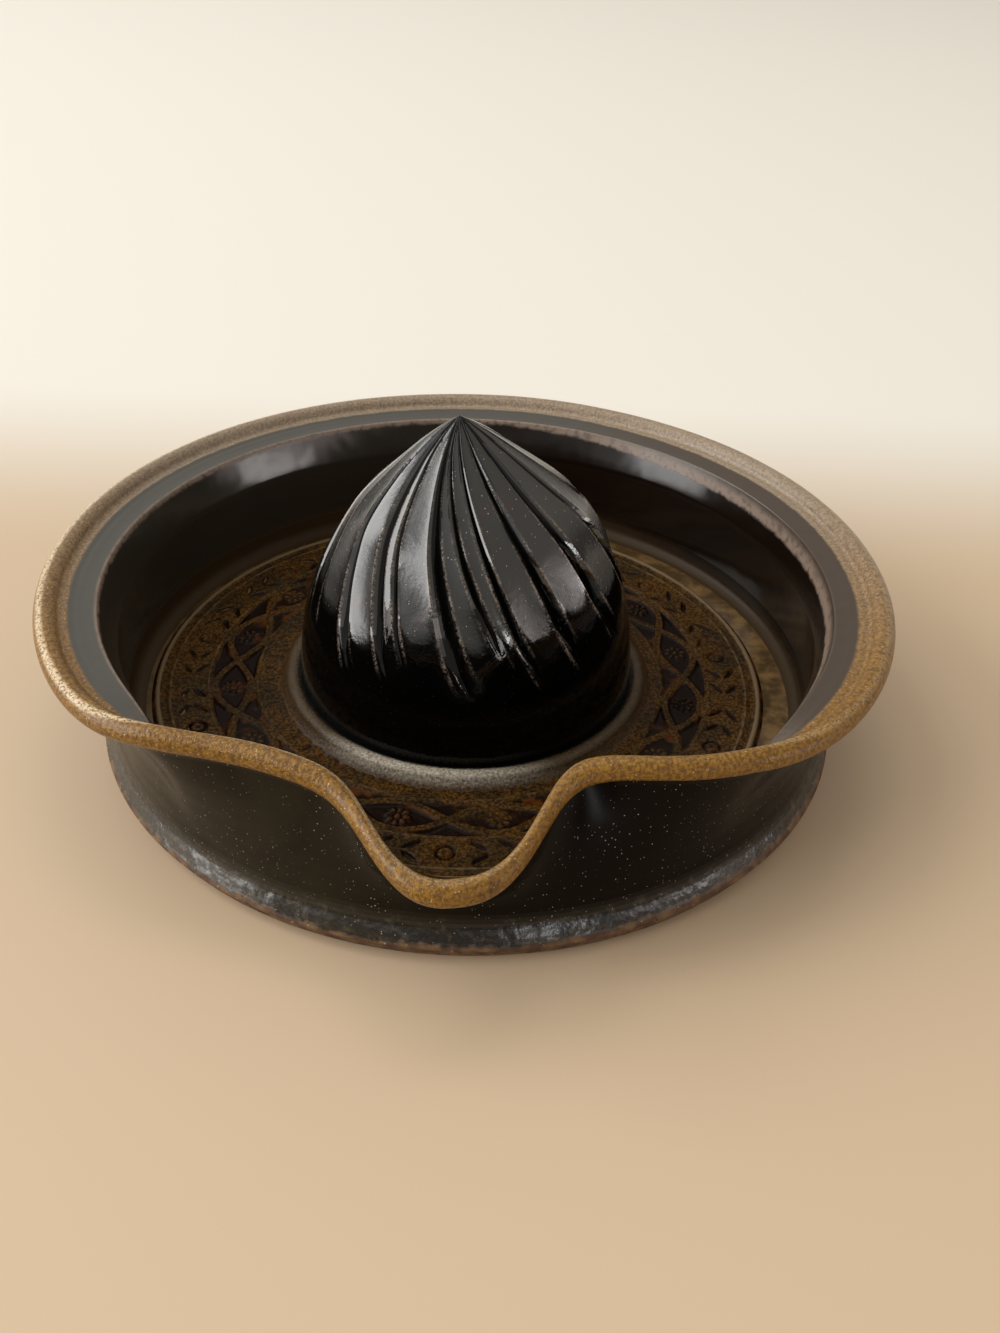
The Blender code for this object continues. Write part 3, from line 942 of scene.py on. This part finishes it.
@dataclass
class FloorSlab:
    """Floor inside the wall: a glossy margin above and turned bare clay below."""

    pot: Pot
    side_gap: float = 0.3
    recess: float = 1.9
    recess_edge: Point = (56.0, 57.0)
    crown: float = 0.12
    turned_rings: int = 19
    ring_height: float = 0.10

    def build(self) -> bpy.types.Object:
        """Builds and dresses the slab."""
        low, level = self.pot.floor_underside, self.pot.floor_level
        hollow, edge = self.pot.hollow_radius, self.pot.floor_radius - self.side_gap
        sunk, margin = self.recess_edge
        outline = [(hollow, low), (hollow, level - self.recess), (sunk, level - self.recess), (margin, level)]
        for share in shares(12, 1):
            outline.append((blend(margin, edge, share), level - self.crown * math.sin(math.pi * share)))
        outline.append((edge, low))
        for share in shares(60, 1)[:-1]:
            wave = 1.0 + math.sin(share * self.turned_rings * math.tau)
            ring = self.ring_height * wave * math.sin(math.pi * share) ** 0.3
            outline.append((blend(edge, hollow, share), low + ring))
        form = spun(outline, self.pot.axis, 180)
        return finish_piece("floor_slab_skin", form, [FloorGlaze().build()], ["floor_slab"])


@dataclass
class ReliefDisc:
    """Pressed disc in the floor: a braid with rosettes between a band of leaves and a row of tongues.

    Attributes:
        rings: Raised rings, each as radius, height and half width.
    """

    pot: Pot
    radius: float = 60.9
    edge: Point = (0.4, 0.5)
    rings: tuple[Triple, ...] = (
        (60.25, 0.50, 0.85),
        (57.9, 0.28, 0.5),
        (50.4, 0.22, 0.4),
        (40.8, 0.22, 0.4),
    )
    leaf_band: Point = (50.9, 56.7)
    leaf_count: int = 66
    leaf_slant: float = 1.15
    leaf_half: float = 1.0
    stud_count: int = 11
    stud_reach: float = 2.3
    stud_ring: float = 1.55
    stud_half: float = 0.5
    braid_band: Point = (41.3, 49.9)
    braid_waves: int = 8
    strand_half: float = 0.75
    rosette_radius: float = 2.7
    petals: int = 8
    tongue_band: Point = (36.6, 40.3)
    tongue_count: int = 60
    tongue_half: float = 0.95
    depth: float = 0.75
    joint: float = 1.7
    under_collar: float = 34.0
    turns: int = 1000
    rows: int = 84

    def leaves(self, radius: float, azimuth: float) -> float:
        """Depth of the slanting leaves, which turn round at each stud."""
        low, high = self.leaf_band
        if not low < radius < high:
            return 0.0
        middle = (low + high) / 2.0
        off = radius - middle
        panel = (azimuth / 360.0 * self.stud_count) % 1.0
        panel_length = math.tau * middle / self.stud_count
        along = abs((panel - 0.5) * panel_length)
        reach = math.hypot(panel_length / 2.0 - along, off)
        if reach < self.stud_reach:
            ring = hump(reach - self.stud_ring, self.stud_half)
            return self.depth * (ring + 0.8 * hump(reach, self.stud_half))
        pitch = math.tau * middle / self.leaf_count
        slid = along - abs(off) * self.leaf_slant
        across = abs((slid / pitch) % 1.0 - 0.5) * pitch
        width = self.leaf_half * math.sin(math.pi * min(abs(off) / (middle - low), 1.0)) ** 0.6
        if width < 0.1 or slid < 0.0 or reach < self.stud_reach + 0.3:
            return 0.0
        return self.depth * ease(abs(off), 0.15, 0.5) * ease(width - across, -0.1, 0.6)

    def braid(self, radius: float, azimuth: float) -> float:
        """Depth of the ground between two waves that cross, with a rosette in each loop."""
        low, high = self.braid_band
        if not low < radius < high:
            return 0.0
        middle = (low + high) / 2.0
        swing = (high - low) / 2.0 - self.strand_half
        phase = math.radians(azimuth) * self.braid_waves
        slope = math.cos(phase) * self.braid_waves * swing / middle
        off = radius - middle
        strand = min(abs(off - swing * math.sin(phase)), abs(off + swing * math.sin(phase)))
        strand /= math.sqrt(1.0 + slope * slope)
        ground = ease(strand, self.strand_half * 0.5, self.strand_half * 1.6)
        turned = (azimuth / 180.0 * self.braid_waves) % 1.0 - 0.5
        x, y = turned * math.pi * middle / self.braid_waves, off
        distance = math.hypot(x, y)
        if distance < self.rosette_radius:
            petal = 0.5 + 0.5 * math.cos(math.atan2(y, x) * self.petals)
            rim = ease(self.rosette_radius - distance, 0.0, 0.5)
            raised = max(hump(distance, 0.8), petal * hump(distance - 1.6, 1.05)) * rim
            return self.depth * ground * (1.0 - raised)
        edge = ease(min(radius - low, high - radius), 0.0, 0.4)
        return self.depth * max(ground * edge, 0.35 * hump(strand, 0.25))

    def tongues(self, radius: float, azimuth: float) -> float:
        """Depth of the row of round-ended strokes next to the collar."""
        low, high = self.tongue_band
        if not low < radius < high:
            return 0.0
        turned = (azimuth / 360.0 * self.tongue_count) % 1.0 - 0.5
        across = abs(turned) * math.tau * radius / self.tongue_count
        end = min(radius - low, high - radius)
        return 0.4 * self.depth * ease(self.tongue_half - across, 0.0, 0.8) * ease(end, 0.0, 1.2)

    def level(self, radius: float, azimuth: float) -> float:
        """Height of the disc's face at a place."""
        place = standing(radius, azimuth)
        pressed = 0.60 + 0.75 * mottle(place, 17, 4.0) + 0.20 * ease(radius, 44, 54)
        cut = self.leaves(radius, azimuth) + self.braid(radius, azimuth) + self.tongues(radius, azimuth)
        raised = sum(height * hump(radius - middle, half) for middle, height, half in self.rings)
        soft = 0.05 * mottle(place, 1.6, 6.0) + 0.06 * mottle(place, 9, 7.0)
        drop = self.pot.disc_top - self.pot.floor_level
        fall = drop * ease(radius, self.radius - self.edge[0], self.radius + self.edge[1])
        return self.pot.disc_top - cut * min(max(pressed, 0.20), 1.0) + raised + soft - fall

    def build(self) -> bpy.types.Object:
        """Builds and dresses the disc."""
        hollow, outer = self.pot.hollow_radius, self.radius + self.edge[1]
        base = self.pot.floor_level - self.joint
        inner = (base, self.pot.disc_top)
        sections = []
        for turn in shares(self.turns)[:-1]:
            azimuth = 360.0 * turn
            places = [standing(hollow, azimuth, height, self.pot.cone_axis) for height in inner]
            for share in shares(self.rows - 1):
                radius = blend(self.under_collar, outer, share)
                places.append(standing(radius, azimuth, self.level(radius, azimuth), self.pot.disc_axis))
            places.append(standing(outer, azimuth, base, self.pot.disc_axis))
            sections.append([Knot(place) for place in places])
        glaze = ReliefGlaze(self.pot.disc_top, self.depth).build()
        form = Loft(sections).form()
        return finish_piece("relief_disc_skin", form, [glaze], ["relief_disc"])


@dataclass
class ConeCollar:
    """Soft roll of clay luted round the cone's foot."""

    pot: Pot
    inner_radius: float = 33.03
    roll_width: float = 1.6
    roll_height: float = 1.5
    roll_level: float = 7.0
    joint_level: float = 8.05
    joint: float = 0.2
    seam: float = 0.35
    spread: float = 2.0
    lumps: float = 0.16

    def build(self) -> bpy.types.Object:
        """Builds and dresses the roll."""
        foot = self.pot.disc_top - self.joint
        middle = self.inner_radius + self.roll_width
        outline = [(self.inner_radius, foot), (self.inner_radius, self.joint_level)]
        outline += arc((middle, self.roll_level), (self.roll_width, self.roll_height), 122.0, 14.0, 14)
        radius, top = outline[-1]
        for share in shares(9, 1):
            outline.append((radius + self.spread * share, blend(foot, top, (1.0 - share) ** 2.0)))
        form = spun(outline, self.pot.cone_axis, 240, self.uneven)
        glaze = CollarGlaze(self.pot.cone_axis, self.inner_radius + self.seam, middle).build()
        return finish_piece("cone_collar_skin", form, [glaze], ["cone_collar"])

    def uneven(self, place: Vector) -> float:
        """Lumps of the roll, which leave the joint with the cone alone."""
        away = math.hypot(place.x, place.y) - self.inner_radius
        lump = mottle(place, 6.0) + 0.4 * mottle(place, 1.8, 2.0)
        return self.lumps * lump * ease(away, 0.0, 1.0)


@dataclass(frozen=True)
class Cut:
    """One cut taken out of the cone between two ridges.

    Attributes:
        start: Azimuth of its left ridge, at the height where cuts are laid out.
        low: Height at which it runs out.
        lag: How much more than the common twist its left ridge turns, in degrees a millimetre.
        tail: How far its shallow tail runs on below.
        steepness: Its depth as a share of its width.
        deepest: Greatest depth.
        valley: Share of its width at which it is deepest.
        banks: Powers that bend its left and right bank.
    """

    start: float
    low: float
    lag: float = 0.0
    tail: float = 4.0
    steepness: float = 0.060
    deepest: float = 0.75
    valley: float = 0.55
    banks: Point = (2.0, 2.0)


@dataclass(frozen=True)
class Groove(Cut):
    """Narrow, deep cut with steep banks that shade each other."""

    tail: float = 5.0
    steepness: float = 0.58
    deepest: float = 1.9
    valley: float = 0.48
    banks: Point = (1.0, 0.8)


FLUTES = (
    Cut(-84.0, 28.0, 0.12), Groove(-67.0, 25.0, 0.12), Cut(-61.0, 26.0, 0.12), Groove(-48.5, 27.0, 0.05),
    Cut(-41.5, 33.0, -0.05), Groove(-38.0, 30.0, -0.07), Cut(-34.5, 30.0, -0.08), Groove(-20.0, 26.0, -0.14),
    Cut(-12.0, 28.5, -0.08), Groove(-5.5, 34.0, 0.14), Cut(-0.5, 30.0, 0.14), Groove(6.0, 26.0, -0.04),
    Cut(10.8, 30.0, -0.08), Groove(24.5, 27.0, -0.16), Cut(31.5, 32.0, -0.22), Groove(47.5, 28.0, -0.30),
    Cut(55.5, 31.0, -0.32), Groove(74.5, 27.0, -0.36), Cut(82.0, 28.0, -0.36), Groove(99.0, 30.0, -0.30),
    Cut(105.0, 33.0, -0.26), Groove(121.0, 27.0, -0.2), Cut(127.0, 27.0, -0.16), Groove(146.0, 30.0, -0.1),
    Cut(152.0, 30.0), Groove(169.0, 29.0), Cut(175.0, 32.0), Groove(193.0, 27.0), Cut(199.0, 27.0),
    Groove(215.0, 30.0), Cut(221.0, 33.0), Groove(239.0, 28.0, 0.06), Cut(245.0, 30.0, 0.06),
    Groove(261.5, 28.0, 0.1), Cut(266.5, 29.0, 0.12),
)


@dataclass
class ReamerCone:
    """Hollow cone with hand-cut, twisted flutes."""

    pot: Pot
    flutes: tuple[Cut, ...] = FLUTES
    radius: float = 33.0
    foot: float = 6.5
    spring: float = 3.0
    rise: float = 55.7
    seat: float = 7.2
    seat_curl: float = 0.9
    crown: float = 13.0
    lean: float = -2.1
    lean_power: float = 6.0
    sway: float = 0.8
    sway_place: Point = (41.0, 17.0)
    shave: float = 1.6
    shave_place: Point = (54.0, 11.0)
    layout_height: float = 45.0
    twist: float = 0.95
    lag_height: float = 33.0
    fade: float = 7.0
    tail_depth: float = 0.22
    valley_low: float = 0.45
    least_columns: int = 4
    columns_a_degree: float = 0.62
    right_share: float = 0.6
    line_top: float = 56.0
    line_fade: float = 12.0
    plain_level: float = 24.0
    plain_cut: float = 0.08
    facet_sheen: float = 0.92
    plain_sheen: float = 0.26
    wall: float = 2.0
    rows: int = 160
    row_crowding: float = 1.12

    @property
    def tip(self) -> float:
        """Height of the point."""
        return self.foot + self.rise

    @property
    def crown_level(self) -> float:
        """Height of the hollow."""
        return self.tip - self.crown

    def ogive(self, height: float, base: float, top: float, radius: float) -> float:
        """Radius of a pointed arch turned round the axis, upright at its base."""
        length = top - base
        sweep = (radius * radius + length * length) / (2.0 * radius)
        run = min(max(height - base, 0.0), length)
        return math.sqrt(sweep * sweep - run * run) - sweep + radius

    def stand(self, radius: float, azimuth: float, height: float) -> Vector:
        """Place on the cone, which bows a little to the right and whose point leans to the left."""
        place = standing(radius, azimuth, height, self.pot.cone_axis)
        climb = max(height - self.foot - self.spring, 0.0) / (self.rise - self.spring)
        level, half = self.sway_place
        place.x += self.lean * climb ** self.lean_power + self.sway * hump(height - level, half)
        return place

    def ridge(self, index: int, height: float) -> float:
        """Azimuth of a flute's left ridge at a height."""
        turns, place = divmod(index, len(self.flutes))
        flute = self.flutes[place]
        late = self.layout_height - max(height, self.lag_height)
        return flute.start + 360.0 * turns + self.twist * (self.layout_height - height) + flute.lag * late

    def across(self, index: int, side: float, height: float) -> float:
        """Share of a flute's width from its left ridge to a place across it."""
        flute = self.flutes[index]
        fading_in = ease(height, flute.low, flute.low + 1.6 * self.fade)
        valley = blend(self.valley_low, flute.valley, fading_in)
        return valley * (1.0 + side) if side < 0.0 else blend(valley, 1.0, side)

    def azimuth(self, index: int, side: float, height: float) -> float:
        """Azimuth of a place across a flute."""
        share = self.across(index, side, height)
        return blend(self.ridge(index, height), self.ridge(index + 1, height), share)

    def scoop(self, index: int, side: float, height: float, width: float) -> Point:
        """Depth cut at one place of a flute.

        Args:
            index: Number of the flute.
            side: Place across it: -1 at its left ridge, 0 in the valley and 1 at its right ridge.
            height: Height of the place.
            width: Width of the flute there.

        Returns:
            The depth, and how fully the flute is cut there.
        """
        flute = self.flutes[index]
        tail = self.tail_depth * ease(height, flute.low - flute.tail, flute.low)
        start = blend(tail, 1.0, ease(height, flute.low, flute.low + self.fade))
        bank = abs(side) ** flute.banks[0 if side < 0.0 else 1]
        full = min(flute.steepness * width, flute.deepest)
        return full * max(start - bank * (0.35 + 0.65 * start), 0.0), start

    def section(self, index: int, side: float) -> list[Knot]:
        """Section of the cone along one twisted line, down its outside and up its hollow."""
        heights = [blend(self.tip, self.seat, share ** self.row_crowding) for share in shares(self.rows)]
        knots = [self.outer_knot(index, side, height) for height in heights]
        tuck = (self.radius - self.seat_curl, self.seat)
        points = arc(tuck, (self.seat_curl, self.seat - self.foot), -12.0, -90.0, 6)
        for share in shares(24)[:-1]:
            height = blend(self.foot, self.crown_level, math.sin(share * math.pi / 2.0))
            points.append((self.ogive(height, self.foot, self.crown_level, self.pot.hollow_radius), height))
        points.append((0.0, self.crown_level))
        azimuth = self.azimuth(index, side, self.seat)
        return knots + [Knot(self.stand(radius, azimuth, height), (0.0, 0.0)) for radius, height in points]

    def outer_knot(self, index: int, side: float, height: float) -> Knot:
        """One point of the fluted outside."""
        level, half = self.shave_place
        radius = self.ogive(height, self.foot + self.spring, self.tip, self.radius)
        radius = max(radius - self.shave * hump(height - level, half), 0.0)
        azimuth = self.azimuth(index, side, height)
        turned = self.ridge(index + 1, height) - self.ridge(index, height)
        width = turned * math.radians(1.0) * radius
        cut, start = self.scoop(index, side, height, width)
        place = standing(radius, azimuth, height, self.pot.cone_axis)
        chatter = 0.02 * mottle(place, 2.4, 8.0) + 0.08 * mottle(place, 8.0, 9.0)
        radius = max(radius - cut - abs(chatter) * start, 0.0)
        across = self.across(index, side, height)
        from_ridge = min(across, 1.0 - across) * width
        near = (1.0 - ease(from_ridge, 0.05, 0.40)) * ease(start, 0.02, 0.3)
        near *= ease(height, self.line_top, self.line_top - self.line_fade)
        # Inside a groove the cut mark is held down as painted shade: it keeps the colour mirror black and
        # gives those faces the low-sheen glaze where the steep banks shade each other.
        shaded = ease(1.0 - abs(side), 0.05, 0.35) if isinstance(self.flutes[index], Groove) else 0.0
        shown = ease(cut, 0.0, 0.16) * ease(start, self.tail_depth, 0.55) * (1.0 - shaded)
        return Knot(self.stand(radius, azimuth, height), (near, shown))

    def build(self) -> bpy.types.Object:
        """Builds and dresses the cone."""
        sections = []
        for index in range(len(self.flutes)):
            gap = self.ridge(index + 1, self.layout_height) - self.ridge(index, self.layout_height)
            left = max(self.least_columns, round(gap * self.columns_a_degree))
            right = max(self.least_columns, round(left * self.right_share))
            sides = [share - 1.0 for share in shares(left)[:-1]] + shares(right)[:-1]
            sections += [self.section(index, side) for side in sides]
        form = Loft(sections, (Mark.RIDGE, Mark.CUT), looped=False).form()
        layer = form.verts.layers.float[Mark.CUT.value]
        for face in form.faces:
            middle = face.calc_center_median()
            reach = math.hypot(middle.x - self.pot.cone_axis[0], middle.y - self.pot.cone_axis[1])
            hollow = self.ogive(middle.z, self.foot, self.crown_level, self.radius - self.wall)
            if reach < hollow and middle.z < self.crown_level + 1.0:
                face.material_index = 1
            # Barely cut faces, among them the grooves' insides with their painted shade, take the low-sheen
            # glaze with the foot.
            elif middle.z < self.plain_level or mean_mark(face, layer) < self.plain_cut:
                face.material_index = 2
        facets = ConeGlaze().build("cone_glaze", self.facet_sheen)
        glazes = [facets, BareClay().build(), ConeGlaze().build("cone_foot_glaze", self.plain_sheen)]
        return finish_piece("reamer_cone_skin", form, glazes, ["reamer_cone"], 36.0)


@dataclass
class Softbox:
    """Flat lamp that faces the pot.

    Attributes:
        name: Its name.
        azimuth: Direction from the pot, from the lip's side towards +X.
        elevation: Height angle.
        distance: Distance from the pot in metres.
        size: Width and height in metres.
        glow: Brightness of its face, where 1 is white.
        colour: Its colour.
    """

    name: str
    azimuth: float
    elevation: float
    distance: float
    size: Point
    glow: float
    colour: Colour = (1.0, 1.0, 1.0)

    def hang(self) -> None:
        """Puts the lamp in place."""
        lamp = bpy.data.lights.new(self.name, "AREA")
        lamp.shape = "RECTANGLE"
        lamp.size, lamp.size_y = self.size
        lamp.energy = self.glow * math.pi * self.size[0] * self.size[1]
        lamp.color = self.colour
        holder = bpy.data.objects.new(self.name, lamp)
        tilt = math.radians(self.elevation)
        away = standing(math.cos(tilt), self.azimuth, math.sin(tilt))
        holder.location = away * self.distance
        holder.rotation_euler = away.to_track_quat("Z", "Y").to_euler()
        bpy.context.scene.collection.objects.link(holder)


@dataclass
class Studio:
    """Pale floor, soft lamps and the camera."""

    floor_size: float = 3.0
    floor_near: Colour = (0.53, 0.40, 0.27)
    floor_far: Colour = (0.71, 0.68, 0.62)
    sky_left: Colour = (0.78, 0.77, 0.74)
    sky_right: Colour = (0.56, 0.52, 0.46)
    sky_low: Colour = (0.05, 0.045, 0.04)
    sky_rise: Point = (0.09, 0.42)
    sky_turn: Point = (0.70, 0.95)
    sky_side: Point = (-0.45, 0.25)
    camera_place: Triple = (6.68, -205.85, 154.83)
    camera_tilt: float = 35.353
    camera_roll: float = 2.233
    focal_share: float = 1250.0 / 1333.0
    lamps: tuple[Softbox, ...] = (
        Softbox("window_left", -86.0, 29.0, 2.6, (3.30, 1.50), 4.4, (1.0, 0.99, 0.97)),
        Softbox("doorway", -70.0, 7.0, 2.6, (1.24, 0.52), 5.4, (1.0, 0.98, 0.95)),
        Softbox("window_right", 70.0, 16.0, 2.6, (2.20, 0.64), 1.5, (1.0, 0.86, 0.82)),
        Softbox("far_window", 72.0, 9.6, 2.6, (1.20, 0.28), 4.8, (1.0, 0.97, 0.95)),
        Softbox("skylight", -110.0, 60.0, 2.0, (1.10, 0.60), 3.2, (1.0, 0.97, 0.90)),
        Softbox("ceiling", 180.0, 74.0, 2.0, (0.80, 0.50), 3.6, (1.0, 0.94, 0.84)),
        Softbox("small_lamp", 24.0, 9.5, 1.8, (0.20, 0.36), 8.0),
    )

    def lay_floor(self) -> None:
        """Lays a plain floor that pales into the distance."""
        form = bmesh.new()
        bmesh.ops.create_grid(form, x_segments=1, y_segments=1, size=self.floor_size)
        mesh = bpy.data.meshes.new("floor")
        form.to_mesh(mesh)
        form.free()
        shader = Shader("floor_paint", 0.55)
        far = shader.along("Y", 50.0, 160.0)
        mesh.materials.append(shader.wear(shader.mix(far, self.floor_near, self.floor_far)))
        floor = bpy.data.objects.new("floor", mesh)
        bpy.context.scene.collection.objects.link(floor)

    def light(self) -> None:
        """Hangs the lamps under a sky that is bright above and behind, and dark low in front."""
        for lamp in self.lamps:
            lamp.hang()
        world = bpy.data.worlds.new("sky")
        world.use_nodes = True
        sky = Nodes(world.node_tree, "Generated")
        above = sky.window(sky.axis("Z"), *self.sky_rise)
        behind = sky.window(sky.axis("Y"), *self.sky_turn)
        sides = sky.mix(sky.window(sky.axis("X"), *self.sky_side), self.sky_left, self.sky_right)
        colour = sky.mix(sky.maths("MAXIMUM", above, behind), self.sky_low, sides)
        sky.put(sky.tree.nodes["Background"].inputs["Color"], colour)
        bpy.context.scene.world = world

    def aim_camera(self) -> None:
        """Sets the camera at the measured place, tilt and roll."""
        data = bpy.data.cameras.new("camera")
        data.sensor_width = 36.0
        data.lens = data.sensor_width * self.focal_share
        data.clip_start = 0.01
        camera = bpy.data.objects.new("camera", data)
        turn = Matrix.Rotation(math.radians(90.0 - self.camera_tilt), 4, "X")
        roll = Matrix.Rotation(math.radians(self.camera_roll), 4, "Z")
        camera.matrix_world = Matrix.Translation(Vector(self.camera_place) * MM) @ turn @ roll
        bpy.context.scene.collection.objects.link(camera)
        bpy.context.scene.camera = camera

    def build(self) -> None:
        """Sets up the whole studio."""
        self.lay_floor()
        self.light()
        self.aim_camera()
        bpy.context.scene.view_settings.view_transform = "Standard"


def corners(box: Sequence[Vector]) -> list[list[float]]:
    """A box's corners as plain lists."""
    return [[float(value) for value in corner] for corner in box]


def main() -> None:
    """Dresses the pot piece by piece and sets up the studio."""
    logging.basicConfig(level=logging.INFO, format="%(name)s: %(message)s")
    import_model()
    pot = Pot()
    for part in (DishWall, FootRing, FloorSlab, ReliefDisc, ConeCollar, ReamerCone):
        part(pot).build()
    Studio().build()


if __name__ == "__main__":
    main()
